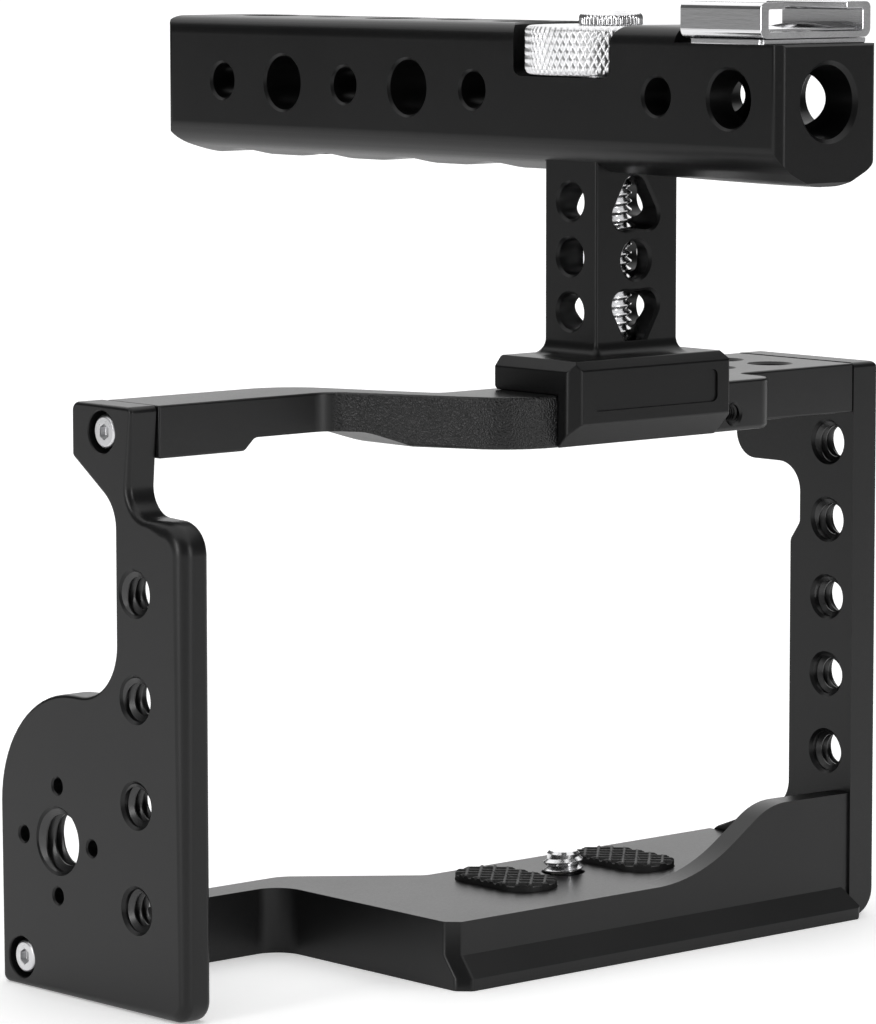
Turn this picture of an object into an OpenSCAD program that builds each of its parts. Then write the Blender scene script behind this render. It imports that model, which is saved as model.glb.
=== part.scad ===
/* [Cage] */
// Clear width between the two side plates
inner_w = 124.2; // [122:0.2:128]
// Thickness of the left side plate
left_t = 5; // [4.6:0.1:5.4]
// Thickness of the right side plate
right_t = 5.1; // [4.6:0.1:5.6]
// Height of the top bar's underside above the centre of the 3/8 inch hole
bar_z = 57.6; // [57.2:0.1:58.2]
// Thickness of the top bar
bar_t = 7.7; // [7.2:0.1:8]
// Depth of the cage's foot below the centre of the 3/8 inch hole
base_z = -23; // [-24:0.1:-22.6]
// Thickness of the bottom plate
base_t = 10.1; // [9.6:0.1:10.6]

/* [Threaded holes] */
// Radius of a 1/4 inch threaded hole
quarter_r = 3.175; // [3.1:0.025:3.25]
// Radius of the 3/8 inch threaded hole
three_eighths_r = 4.7625; // [4.7:0.0125:4.85]
// Radius of the small locating holes
locating_r = 1.2; // [1:0.1:1.5]
// Radius of the circle that the locating holes lie on
locating_ring = 8.2; // [8:0.1:8.6]

/* [Handle] */
// Width of the handle
handle_w = 20.3; // [19.6:0.1:21]
// Height of the handle
handle_h = 21.7; // [21.2:0.1:22.2]
// Front end of the handle
handle_front = -85.2; // [-87:0.1:-84.6]
// Rear end of the handle
handle_rear = 53.1; // [50:0.1:56]
// Depth of the finger grooves under the handle
groove_d = 0.8; // [0.3:0.1:1.4]
// Distance from one finger groove to the next
groove_pitch = 19.6; // [19:0.1:20.2]
// Distance from one cross hole to the next
cross_pitch = 14.8; // [14.2:0.1:15]
// Radius of the small cross holes
small_r = 2.75; // [2.5:0.05:3]
// Radius of the large cross holes
large_r = 4.2; // [3.8:0.05:4.4]

/* [Clamp] */
// Radius of the clamp wheel
wheel_r = 12.75; // [12:0.05:13.2]
// Height of the clamp wheel
wheel_h = 7.2; // [6.8:0.1:7.4]
// Radius of the clamp rod, a 1/4 inch thread
rod_r = 3.175; // [3.15:0.005:3.2]
// Clearance around the rod in the top bar
rod_gap = 0.05; // [0.03:0.01:0.09]

/* [Accessory shoe] */
// Outer width of the shoe
shoe_w = 22.2; // [21.6:0.1:22.6]
// Length of the shoe
shoe_l = 16.2; // [15.6:0.1:17]
// Height of the shoe
shoe_h = 5.1; // [4.9:0.1:5.4]

/* [Camera screw] */
// Radius of the camera screw, a 1/4 inch thread
screw_r = 3.175; // [3.1:0.005:3.2]
// How far the camera screw stands above the bottom plate
screw_up = 3.4; // [3.2:0.1:4.6]

/* [Hidden] */
$fn = 64;
arc_step = 11;

xr = left_t + inner_w;              // inner face of the right plate
xe = xr + right_t;                  // outer face of the right plate
bar_top = bar_z + bar_t;
base_top = base_z + base_t;
axis_x = 73.4;                      // clamp rod and handle
axis_y = -40.2;
foot_z = bar_top + 0.05;            // underside of the handle's foot
foot_top = foot_z + 5.05;
handle_z = 97.6;                    // lowest part of the handle
handle_top = handle_z + handle_h;
cross_z = handle_z + 11.6;
pocket_z = handle_top - 7.8;        // floor of the wheel pocket
wheel_z = pocket_z + 0.3;
recess_z = handle_top - 2.3;        // floor of the recess under the shoe
shoe_z = recess_z + 0.8;            // underside of the shoe, on its strip
shoe_y0 = handle_front + 2.7;
cam_x = 85.5;                       // camera screw
cam_y = -17.2;
seat_z = base_top - 3.05;           // ledge that the camera screw's head pulls against
black = [0.07, 0.07, 0.075];
steel = [0.75, 0.75, 0.76];

// ---- outlines: corners are [x, y, radius, edge at the start, edge at the end] ----
function unit(v) = v / norm(v);
function xy(p) = [p[0], p[1]];
function crs(a, b) = a[0]*b[1] - a[1]*b[0];
function or0(v) = is_undef(v) ? 0 : v;
function corner(a, b, c, q) =
  let(u = unit(a-b), v = unit(c-b), s = crs(b-a, c-b) >= 0 ? 1 : -1,
      h = acos(u*v)/2, m = unit(u+v), r = or0(q[2]))
  r <= 0 ? [[b[0], b[1], s*m[0]/sin(h), s*m[1]/sin(h), or0(q[3]), or0(q[4])]] :
  let(o = b + m*r/sin(h), p = b + u*r/tan(h), e = b + v*r/tan(h),
      a0 = atan2(p[1]-o[1], p[0]-o[0]), d0 = atan2(e[1]-o[1], e[0]-o[0]) - a0,
      d = d0 > 180 ? d0-360 : d0 < -180 ? d0+360 : d0, n = max(2, ceil(abs(d)/arc_step)))
  [for (i = [0:n]) let(w = [cos(a0+d*i/n), sin(a0+d*i/n)])
    [o[0]+r*w[0], o[1]+r*w[1], -s*w[0], -s*w[1], or0(q[3]), or0(q[4])]];
function outline(c) = let(n = len(c))
  [for (i = [0:n-1]) each corner(xy(c[(i+n-1)%n]), xy(c[i]), xy(c[(i+1)%n]), c[i])];

// Side faces, start cap and end cap of a stack of rings with p points each
function ring_faces(p, r) = concat(
  [[for (i = [0:p-1]) i]], [[for (i = [p-1:-1:0]) (r-1)*p + i]],
  [for (k = [0:r-2], i = [0:p-1]) [k*p+i, (k+1)*p+i, (k+1)*p+(i+1)%p]],
  [for (k = [0:r-2], i = [0:p-1]) [k*p+i, (k+1)*p+(i+1)%p, k*p+(i+1)%p]]);

// A prism whose start and end edges are rounded in n0 and n1 steps, by each corner's own size
module edged(c, h, n0 = 1, n1 = 1) {
  o = outline(c); p = len(o);
  low = [for (k = [0:n0]) let(t = 90*k/n0) for (q = o)
    [q[0]+q[2]*q[4]*(1-sin(t)), q[1]+q[3]*q[4]*(1-sin(t)), abs(q[4])*(1-cos(t))]];
  high = [for (k = [0:n1]) let(t = 90*k/n1) for (q = o)
    [q[0]+q[2]*q[5]*(1-cos(t)), q[1]+q[3]*q[5]*(1-cos(t)), h-abs(q[5])*(1-sin(t))]];
  polyhedron(points = concat(low, high), faces = ring_faces(p, n0+n1+2));
}
// The same with a list of levels: height, and the amount that the outline is drawn in there
module stack(c, levels) {
  o = outline(c);
  polyhedron(points = [for (l = levels, q = o) [q[0]+q[2]*l[1], q[1]+q[3]*l[1], l[0]]], faces = ring_faces(len(o), len(levels)));
}
module slab(c, h) linear_extrude(h) polygon([for (q = outline(c)) xy(q)]);
// Outlines in Y and Z run along X, outlines in X and Z run back along Y
module along_x(x0) translate([x0, 0, 0]) rotate([90, 0, 90]) children();
module along_y(y1) translate([0, y1, 0]) rotate([90, 0, 0]) children();
module along_z(z0) translate([0, 0, z0]) children();
// The model's origin is the middle of its footprint, on the ground
module place() translate([-xe/2, -(handle_front+handle_rear)/2, -base_z]) children();

// Holes, each with a countersunk mouth at both ends
module hole(r, h, c) {
  translate([0, 0, -1]) cylinder(r = r, h = h+2);
  translate([0, 0, -0.01]) cylinder(r1 = r+c+0.01, r2 = r, h = c+0.01);
  translate([0, 0, h-c]) cylinder(r1 = r, r2 = r+c+0.01, h = c+0.01);
}
module hole_x(x0, x1, y, z, r, c) translate([x0, y, z]) rotate([0, 90, 0]) hole(r, x1-x0, c);
module hole_z(z0, z1, x, y, r, c) translate([x, y, z0]) hole(r, z1-z0, c);

// ---- side plates ----
left_holes = [for (i = [0:3]) 38.5 - 15.4*i];
right_holes = [for (i = [0:4]) 52.5 - 12.35*i];
left_screws = [[-11.3, 61.3], [9.05, -18.7]];
right_screws = [[-32.6, 61.4], [-15.3, 61.4], [-30, -15.9], [-11.5, -15.9]];

module left_side_plate() color(black) place() difference() {
  intersection() {
    along_x(-1) slab([
      [-29.8, base_z, 3.2], [13.9, base_z, 1.2], [13.9, 22.05, 17.8], [-14.25, 22.1, 8.5],
      [-14.25, 50.6, 6], [-4.3, 57.4, 0.9], [-4.3, bar_top, 1.4], [-18.25, bar_top, 0.9],
      [-17, 49.4, 4.2], [-29.8, 49.4, 4.8]], left_t+2);
    // rounded front edge
    along_z(base_z-1) slab([[0, -29.8, 1.9], [left_t, -29.8, 1], [left_t, 20, 0], [0, 20, 0]], 100);
    // rounded lower edge
    along_y(20) slab([[0, base_z, 1.2], [left_t, base_z, 0.4], [left_t, bar_top+1, 0], [0, bar_top+1, 0]], 60);
  }
  hole_x(0, left_t, 0, 0, three_eighths_r, 0.4);
  for (a = [0:90:270])
    hole_x(0, left_t, locating_ring*cos(a), locating_ring*sin(a), locating_r, 0.25);
  for (z = left_holes) hole_x(0, left_t, -18.7, z, quarter_r, 0.45);
  for (s = left_screws) {
    hole_x(0, left_t, s[0], s[1], 1.7, 0.1);
    translate([-1, s[0], s[1]]) rotate([0, 90, 0]) cylinder(r = 3.1, h = 3.5);
  }
}

module right_side_plate() color(black) place() difference() {
  intersection() {
    along_x(xr) slab([
      [-36.9, base_z-1, 0], [-5.5, base_z-1, 0], [-5.5, -12.9, 3], [-23.25, -6, 5],
      [-23.25, 36.3, 1.5], [-25.3, 39.2, 1.5], [-25.3, 48.7, 4.6], [-11, 48.65, 4.2],
      [-11, bar_top+0.1, 0.9], [-36.9, bar_top+0.1, 0.9]], right_t+1);
    along_y(0) slab([[xr-1, base_z, 0], [xe, base_z+0.2, 4.2], [xe, bar_top+0.1, 1], [xr-1, bar_top+0.3, 0]], 40);
  }
  for (z = right_holes) hole_x(xr, xe, -31.3, z, quarter_r, 0.45);
  for (s = right_screws) {
    hole_x(xr, xe, s[0], s[1], 1.7, 0.1);
    translate([xe-2.6, s[0], s[1]]) rotate([0, 90, 0]) cylinder(r = 3.1, h = 3.5);
  }
}

// A small socket head screw along +Z: its head's underside is at the origin
module socket_screw(shank_r, shank_l, head_r, head_h, key) difference() {
  union() {
    translate([0, 0, -shank_l]) cylinder(r = shank_r, h = shank_l+0.1);
    cylinder(r = head_r, h = head_h-0.3);
    translate([0, 0, head_h-0.3]) cylinder(r1 = head_r, r2 = head_r-0.3, h = 0.3);
  }
  translate([0, 0, head_h*0.45]) cylinder(r = key/2/cos(30), h = head_h, $fn = 6);
}
module left_plate_screws() color(steel) place()
  for (s = left_screws) translate([2.5, s[0], s[1]]) rotate([0, -90, 0]) socket_screw(1.45, 8, 2.45, 2, 2);
module right_plate_screws() color(steel) place()
  for (s = right_screws) translate([xe-2.6, s[0], s[1]]) rotate([0, 90, 0]) socket_screw(1.45, 7, 2.45, 2, 2);

// ---- top bar ----
bar_outline = [
  [left_t, -18.5, 0], [37, -18.5, 4.9], [50.5, -45.5, 12], [xr-25.9, -45.5, 3.3], [xr-25.9, -36.8, 2.3],
  [xr, -36.8, 0], [xr, -11.2, 0], [xr-23, -11.2, 3], [xr-25.4, -30.3, 3],
  [48.15, -30.3, 2.5], [38.1, -6.2, 10.5], [left_t, -6.2, 0]];
top_holes = [[119.3-129.2, -28.2], [118.5-129.2, -18.2], [107.5-129.2, -27.5]];
module top_bar() color(black) place() difference() {
  along_z(bar_z) slab(bar_outline, bar_t);
  // relief under the arm, with a soft ramp at each end
  along_y(0) slab([[19, bar_z-1, 0], [45.2, bar_z-1, 0], [45.2, bar_z-0.05, 0], [43.2, bar_z-0.05, 2],
                   [39.7, bar_z+1.9, 2.5], [22.7, bar_z+1.9, 1.5], [20.6, bar_z-0.05, 1], [19, bar_z-0.05, 0]], 50);
  // bore for the clamp rod
  hole_z(bar_z, bar_top, axis_x, axis_y, rod_r+rod_gap, 0.4);
  for (h = top_holes) hole_z(bar_z, bar_top, xr+h[0], h[1], quarter_r, 0.4);
  // small threaded hole in the lip's front
  translate([xr-35, -45.5, bar_z+2.6]) rotate([-90, 0, 0]) {
    translate([0, 0, -1]) cylinder(r = 1.5, h = 7);
    translate([0, 0, -0.01]) cylinder(r1 = 1.86, r2 = 1.5, h = 0.36);
  }
  // threads for the plate screws
  translate([left_t-1, left_screws[0][0], left_screws[0][1]]) rotate([0, 90, 0]) cylinder(r = 1.5, h = 8);
  for (i = [0:1]) translate([xr-5.8, right_screws[i][0], right_screws[i][1]]) rotate([0, 90, 0]) cylinder(r = 1.5, h = 7);
}

// ---- bottom plate ----
lip_front = -39;
plate_front = -36.5;
plate_outline = [
  [left_t, 3.3, 0.3], [45.2, 3.3, 4.6], [45.2, lip_front+1.9, 0], [47.1, lip_front, 0], [xr+0.6, lip_front, 0.8],
  [xr+0.6, -5.3, 0], [67.5, -5.3, 3], [50, 9, 5], [20, 9, 5], [14.5, 13.4, 3], [left_t, 13.4, 0.3]];
pad_x = [73, 98];
pad_y = -17.7;
module pad_shape(x, g) { translate([x, pad_y, 0]) slab([
  [-5-g, -9-g, 4.6+g], [5+g, -9-g, 4.6+g], [5+g, 9+g, 4.6+g], [-5-g, 9+g, 4.6+g]], 3); }
module bottom_plate() color(black) place() difference() {
  union() {
    along_z(base_z) slab(plate_outline, base_t);
    // front flange with its long S-shaped top edge
    along_y(-32.7) slab([[84, base_top-2, 0], [xr+1, base_top-2, 0], [xr+1, -3.1, 0], [111.7, -2.8, 11.8],
                         [96, base_top-0.02, 30], [84, base_top-0.02, 0]], 5);
  }
  // front face above the sloped lip
  along_x(40) slab([[-50, base_z+1.8, 0], [lip_front, base_z+1.8, 0], [plate_front, base_z+5, 0], [plate_front, 5, 0], [-50, 5, 0]], 100);
  // right end face, which stops the lip only behind the right plate's front
  translate([xr, -36.98, base_z-1]) cube([5, 40, 40]);
  // slanted right end of the sloped lip
  along_y(-36.48) slab([[xr-1.5, base_z+5.02, 0], [xr+0.6, base_z+1.8, 0], [xr+0.6, base_z+0.8, 0.5], [xr-0.2, base_z-0.05, 0],
    [xr+5, base_z-0.05, 0], [xr+5, base_z+5.02, 0]], 10);
  // flat on the front left corner, following the slope
  polyhedron(points = [for (l = [[base_z+1.8, lip_front], [base_z+5, plate_front], [base_top+1, plate_front]],
    q = [[45.1, 2], [45.1, -0.5], [47.6, -0.5]]) [q[0], l[1]+q[1], l[0]]], faces = ring_faces(3, 3));
  for (x = pad_x) along_z(base_top-0.5) pad_shape(x, 0.1);
  // camera screw: bore, pocket for the head and groove for the retaining ring
  hole_z(base_z, base_top, cam_x, cam_y, screw_r+0.15, 0.1);
  translate([cam_x, cam_y, base_z-1]) cylinder(r = 7.8, h = seat_z-base_z+1);
  translate([cam_x, cam_y, base_z+0.25]) cylinder(r = 8.5, h = 0.85);
  translate([cam_x, cam_y, base_z-0.01]) cylinder(r1 = 8.21, r2 = 7.8, h = 0.41);
  // threads for the plate screws
  translate([left_t-1, left_screws[1][0], left_screws[1][1]]) rotate([0, 90, 0]) cylinder(r = 1.5, h = 8);
  for (i = [2:3]) translate([xr-7, right_screws[i][0], right_screws[i][1]]) rotate([0, 90, 0]) cylinder(r = 1.5, h = 8);
}

module pad_left() color([0.05, 0.05, 0.05]) place() along_z(base_top-0.5)
  translate([pad_x[0], pad_y, 0]) edged([[-5, -9, 4.6, 0, 0.3], [5, -9, 4.6, 0, 0.3], [5, 9, 4.6, 0, 0.3], [-5, 9, 4.6, 0, 0.3]], 1.7);
module pad_right() color([0.05, 0.05, 0.05]) place() along_z(base_top-0.5)
  translate([pad_x[1], pad_y, 0]) edged([[-5, -9, 4.6, 0, 0.3], [5, -9, 4.6, 0, 0.3], [5, 9, 4.6, 0, 0.3], [-5, 9, 4.6, 0, 0.3]], 1.7);

// ---- camera screw ----
module camera_screw() color(steel) place() translate([cam_x, cam_y, 0]) difference() {
  union() {
    translate([0, 0, base_top-0.6]) cylinder(r = screw_r, h = screw_up+0.1);
    translate([0, 0, base_top+screw_up-0.5]) cylinder(r1 = screw_r, r2 = screw_r-0.5, h = 0.5);
    translate([0, 0, seat_z-0.6]) cylinder(r = 2.35, h = base_top-seat_z+0.1);
    translate([0, 0, seat_z-2.35]) cylinder(r = 7.2, h = 1.55);
    translate([0, 0, seat_z-0.8]) cylinder(r1 = 7.2, r2 = 6.95, h = 0.25);
  }
  // coin slot
  translate([-8, -0.9, seat_z-2.5]) cube([16, 1.8, 1.1]);
}
module camera_screw_washer() color([0.85, 0.85, 0.82]) place() translate([cam_x, cam_y, seat_z-0.5]) difference() {
  cylinder(r = 5, h = 0.45);
  translate([0, 0, -1]) cylinder(r = 2.45, h = 3);
}
module camera_screw_retainer() color(steel) place() translate([cam_x, cam_y, base_z+0.3]) difference() {
  cylinder(r = 8.4, h = 0.75);
  translate([0, 0, -1]) cylinder(r = 6.7, h = 3);
  translate([0, -2.5, -1]) cube([10, 5, 3]);
}

// ---- handle ----
cross_y = [for (i = [0:4]) 38.6 - cross_pitch*i];
front_y = [-60.3, -75.1];
groove_y = [for (i = [0:4]) 38.5 - groove_pitch*i];
function dip(t) = abs(t) < 6.5 ? pow(1-pow(t/6.5, 2), 2) : 0;
nose = 0.8;                         // how far the underside drops towards the front
function under(y) = handle_z + groove_d*(dip(y-groove_y[0]) + dip(y-groove_y[1]) + dip(y-groove_y[2])
                    + dip(y-groove_y[3])) - nose*max(0, min(1, (-50-y)/30));
handle_side = concat(
  [[handle_front, handle_z-nose+0.6], [handle_front+0.6, handle_z-nose]],
  [for (i = [1:59]) let(y = handle_front + 2.2*i) if (y < handle_rear-9) [y, under(y)]],
  [for (t = [0:11.25:90]) [handle_rear-8+8*sin(t), handle_z+5.2-5.2*cos(t)]],
  [for (t = [0:15:90]) [handle_rear-1.6+1.6*cos(t), handle_top-1.6+1.6*sin(t)]],
  [[-64, handle_top], [-64, recess_z], [handle_front+0.3, recess_z], [handle_front, recess_z-0.3]]);
hx0 = axis_x + 0.05 - handle_w/2;
hx1 = hx0 + handle_w;
module wheel_pocket() translate([axis_x, axis_y, pocket_z]) rotate_extrude()
  polygon(concat([[0, 0], [13.25, 0]], [for (t = [15:15:90]) [13.25+1.2*sin(t), 1.2-1.2*cos(t)]], [[14.45, 20], [0, 20]]));
module handle_body() color(black) place() difference() {
  intersection() {
    along_y(handle_rear) slab([[hx0, handle_z+3.8, 1.5], [hx0+1.7, handle_z+1.6, 3], [hx0+6.9, handle_z-nose, 7],
      [hx1-6.9, handle_z-nose, 7], [hx1-1.7, handle_z+1.6, 3], [hx1, handle_z+3.8, 1.5],
      [hx1, handle_top, 2.8], [hx0, handle_top, 2.8]], handle_rear-handle_front);
    along_x(hx0-1) linear_extrude(handle_w+2) polygon(handle_side);
    along_z(handle_z-2) slab([[hx0, handle_front+1.1, 0], [hx0+1.1, handle_front, 0], [hx1-1.1, handle_front, 0],
      [hx1, handle_front+1.1, 0], [hx1, handle_rear, 2], [hx0, handle_rear, 2]], handle_h+3);
  }
  wheel_pocket();
  // cross holes from side to side, and the ones from top to bottom
  for (i = [0:4]) {
    hole_x(hx0, hx1, cross_y[i], cross_z, i%2 == 0 ? small_r : large_r, 0.38);
    hole_z(handle_z, handle_top, axis_x, cross_y[i], i%2 == 0 ? large_r : small_r, 0.38);
  }
  hole_x(hx0, hx1, front_y[0], cross_z, small_r, 0.38);
  hole_x(hx0, hx1, front_y[1], cross_z, large_r, 0.38);
  // front bore
  translate([axis_x, handle_front-1, cross_z-0.4]) rotate([-90, 0, 0]) cylinder(r = 5.3, h = 28.8);
  translate([axis_x, handle_front-0.01, cross_z-0.4]) rotate([-90, 0, 0]) cylinder(r1 = 5.91, r2 = 5.3, h = 0.61);
  // socket for the stem, rod bore and washer seat
  along_z(handle_z-2) slab([[stem_x0-0.07, stem_y0-0.07, 0.4], [stem_x0+stem_w+0.07, stem_y0-0.07, 0.4],
    [stem_x0+stem_w+0.07, stem_y0+11.27, 0.4], [stem_x0-0.07, stem_y0+11.27, 0.4]], 9.8);
  translate([axis_x, axis_y, handle_z]) cylinder(r = 3.6, h = 15);
  translate([axis_x, axis_y, pocket_z-0.9]) cylinder(r = 6.6, h = 2);
  for (s = [1, -1]) translate([axis_x-5.4*s, axis_y-3.35*s, 0]) {
    translate([0, 0, handle_z+7]) cylinder(r = 1.4, h = 4);
    translate([0, 0, pocket_z-3.6]) cylinder(r = 2.4, h = 5);
  }
  // threads for the shoe screws
  for (y = [-8.2, 0]) translate([axis_x, shoe_y0+12.2+y, shoe_z-3.2]) cylinder(r = 1.25, h = 4);
}

stem_x0 = axis_x - 8.1;
stem_w = 16.6;
stem_y0 = -45.8;
foot_x0 = 57.8;                     // left and right ends of the foot
foot_x1 = 90;
stem_top = handle_z - 0.05;
// Window in the stem: a rounded triangle with a dent around the middle hole
function window(m) = [[0, m*15, 2.5, -0.4, -0.4], [-6.6, m*3.8, 2.2, -0.4, -0.4],
  [0, m*4.75, 18, -0.4, -0.4], [6.6, m*3.8, 2.2, -0.4, -0.4]];
function window_down() = [for (i = [0, 3, 2, 1]) window(-1)[i]];
module handle_stem() color(black) place() difference() {
  union() {
    // foot plate with its hook over the front of the bar
    intersection() {
      along_x(foot_x0) slab([[-49.2, bar_z+3.5, 0], [-45.6, bar_z-0.05, 0], [-45.6, foot_z, 0], [-32.3, foot_z, 0],
        [-31.8, foot_z+0.5, 0], [-31.8, foot_top-0.25, 0], [-32.05, foot_top, 0], [-48.2, foot_top, 0], [-49.2, foot_top-1.4, 0]], foot_x1-foot_x0);
      along_y(-30) slab([[foot_x0, bar_z-1, 0], [foot_x1, bar_z-1, 0], [foot_x1, foot_top-1.5, 0], [foot_x1-1.4, foot_top, 0],
        [foot_x0+1.3, foot_top, 0], [foot_x0, foot_top-1.6, 0]], 22);
      along_z(bar_z-1) slab([[foot_x0, -30, 0], [foot_x0, -47.6, 0], [foot_x0+1.5, -49.2, 0], [foot_x1-0.5, -49.2, 0],
        [foot_x1, -48.7, 0], [foot_x1, -30, 0]], 16);
    }
    // column, flared at its base; its top stands in the handle's socket
    along_z(foot_top) stack([[stem_x0, stem_y0, 0.45], [stem_x0+stem_w, stem_y0, 0.45],
      [stem_x0+stem_w, stem_y0+11.2, 0.45], [stem_x0, stem_y0+11.2, 0.45]],
      concat([[-0.4, -2.3]], [for (t = [0:18:90]) [2.3-2.3*cos(t), 2.3*sin(t)-2.3]],
             [[stem_top+5.8-foot_top, 0], [stem_top+6.05-foot_top, 0.25]]));
  }
  // bare label recess in the hook's front
  along_y(-48.9) slab([[61.7, 62.9, 1], [87.1, 62.9, 1], [87.1, 67.8, 1], [61.7, 67.8, 1]], 2);
  // rod bore
  translate([axis_x, axis_y, bar_z]) cylinder(r = 4, h = 60);
  for (z = [93.2, 85.05, 76.9]) hole_x(stem_x0, stem_x0+stem_w, -40.1, z, 2.7, 0.4);
  translate([axis_x, -34.6, 84.5]) rotate([90, 0, 0]) hole(2.85, 11.2, 0.4);
  translate([axis_x, 0, 84.5]) along_y(-34.59) edged(window(1), 11.22, 1, 1);
  translate([axis_x, 0, 84.4]) along_y(-34.59) edged(window_down(), 11.22, 1, 1);
  for (s = [1, -1]) translate([axis_x-5.4*s, axis_y-3.35*s, stem_top+1]) cylinder(r = 1.3, h = 6);
}
module stem_screws() color(steel) place()
  for (s = [1, -1]) translate([axis_x-5.4*s, axis_y-3.35*s, pocket_z-3.6]) socket_screw(1.25, 9, 2.25, 2.5, 2);

// ---- clamp ----
module clamp_wheel() color(steel) place() translate([axis_x, axis_y, wheel_z]) difference() {
  rotate_extrude() polygon(concat([[0, 0]], [for (t = [-90:18:0]) [wheel_r-0.9+0.9*cos(t), 0.9+0.9*sin(t)]],
    [for (t = [0:18:90]) [wheel_r-0.9+0.9*cos(t), wheel_h-0.9+0.9*sin(t)]], [[0, wheel_h]]));
  translate([0, 0, -1]) cylinder(r = rod_r+0.03, h = 5.8);
  translate([0, 0, 2]) cylinder(r = 2.05, h = 8);
}
module wheel_cap_screw() color(steel) place() translate([axis_x, axis_y, wheel_z+wheel_h]) {
  translate([0, 0, -5.5]) cylinder(r = 2, h = 5.6);
  rotate_extrude() polygon(concat([[0, 0], [4.55, 0], [4.75, 0.2]],
    [for (t = [0:15:90]) [3.95+0.8*cos(t), 0.95+0.8*sin(t)]], [[2, 2.05], [0, 2.1]]));
}
module clamp_rod() color(steel) place() translate([axis_x, axis_y, 0]) difference() {
  union() {
    translate([0, 0, bar_z+1.1]) cylinder(r = rod_r, h = wheel_z+4.7-bar_z-1.1);
    translate([0, 0, bar_z+0.5]) cylinder(r1 = rod_r-0.6, r2 = rod_r, h = 0.6);
  }
  // groove for the retaining ring
  translate([0, 0, handle_z+6.6]) difference() {
    cylinder(r = 5, h = 0.8);
    translate([0, 0, -1]) cylinder(r = 2.5, h = 3);
  }
  translate([0, 0, wheel_z-2]) cylinder(r = 2.05, h = 10);
}
module rod_washer() color(steel) place() translate([axis_x, axis_y, pocket_z-0.9]) difference() {
  cylinder(r = 6.4, h = 1.15);
  translate([0, 0, -1]) cylinder(r = 3.5, h = 4);
}
module rod_retaining_ring() color(steel) place() translate([axis_x, axis_y, handle_z+6.65]) difference() {
  cylinder(r = 4.8, h = 0.7);
  translate([0, 0, -1]) cylinder(r = 2.53, h = 3);
  translate([0, -1.6, -1]) cube([8, 3.2, 3]);
}

// ---- accessory shoe ----
sx0 = axis_x - shoe_w/2;
sx1 = axis_x + shoe_w/2;
rail = 1.6;
module cold_shoe() color([0.85, 0.85, 0.86]) place() difference() {
  along_y(shoe_y0+shoe_l) slab([
    [sx0, shoe_z, 1.3], [sx1, shoe_z, 1.3], [sx1, shoe_z+shoe_h, 0.9], [axis_x+6.25, shoe_z+shoe_h, 0.25],
    [axis_x+6.25, shoe_z+shoe_h-0.95, 0.25], [sx1-rail, shoe_z+shoe_h-0.95, 0.3], [sx1-rail, shoe_z+0.95, 0.4],
    [sx0+rail, shoe_z+0.95, 0.4], [sx0+rail, shoe_z+shoe_h-0.95, 0.3], [axis_x-6.25, shoe_z+shoe_h-0.95, 0.25],
    [axis_x-6.25, shoe_z+shoe_h, 0.25], [sx0, shoe_z+shoe_h, 0.9]], shoe_l);
  for (y = [-8.2, 0]) translate([axis_x, shoe_y0+12.2+y, shoe_z]) {
    translate([0, 0, -1]) cylinder(r = 1.4, h = 3);
    translate([0, 0, 0.1]) cylinder(r1 = 1.4, r2 = 2.3, h = 0.9);
  }
}
// Thin strip between the shoe and the handle
module shoe_strip() color([0.8, 0.8, 0.8]) place() difference() {
  along_z(recess_z) slab([[sx0+0.35, shoe_y0+0.2, 0.8], [sx1-0.35, shoe_y0+0.2, 0.8],
    [sx1-0.35, shoe_y0+shoe_l-1.2, 1], [sx0+0.35, shoe_y0+shoe_l-1.2, 1]], 0.75);
  for (y = [-8.2, 0]) translate([axis_x, shoe_y0+12.2+y, recess_z-1]) cylinder(r = 1.4, h = 3);
}
// Bowed leaf frame that presses an accessory's foot up against the rails
module shoe_spring() color([0.8, 0.8, 0.8]) place() intersection() {
  along_x(axis_x-9.2) linear_extrude(18.4) polygon(concat(
    [for (i = [0:12]) [shoe_y0+0.8+i*14.4/12, shoe_z+1.02+0.75*sin(180*i/12)]],
    [for (i = [12:-1:0]) [shoe_y0+0.8+i*14.4/12, shoe_z+1.37+0.75*sin(180*i/12)]]));
  difference() {
    translate([axis_x-9.2, shoe_y0, shoe_z]) cube([18.4, shoe_l, 4]);
    translate([axis_x-5.2, shoe_y0+1.8, shoe_z-1]) cube([10.4, 12.4, 6]);
  }
}
module shoe_screws() color(steel) place()
  for (y = [-8.2, 0]) translate([axis_x, shoe_y0+12.2+y, shoe_z]) difference() {
    union() {
      translate([0, 0, -3]) cylinder(r = 1.2, h = 3.3);
      translate([0, 0, 0.12]) cylinder(r1 = 1.35, r2 = 2.15, h = 0.8);
    }
    translate([0, 0, 0.35]) cylinder(r = 0.75/cos(30), h = 2, $fn = 6);
  }

left_side_plate();
right_side_plate();
top_bar();
bottom_plate();
left_plate_screws();
right_plate_screws();
camera_screw();
camera_screw_washer();
camera_screw_retainer();
pad_left();
pad_right();
handle_body();
handle_stem();
stem_screws();
clamp_wheel();
wheel_cap_screw();
clamp_rod();
rod_washer();
rod_retaining_ring();
cold_shoe();
shoe_strip();
shoe_spring();
shoe_screws();
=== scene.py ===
import math

import bmesh
import bpy
from mathutils import Matrix, Vector


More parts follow.
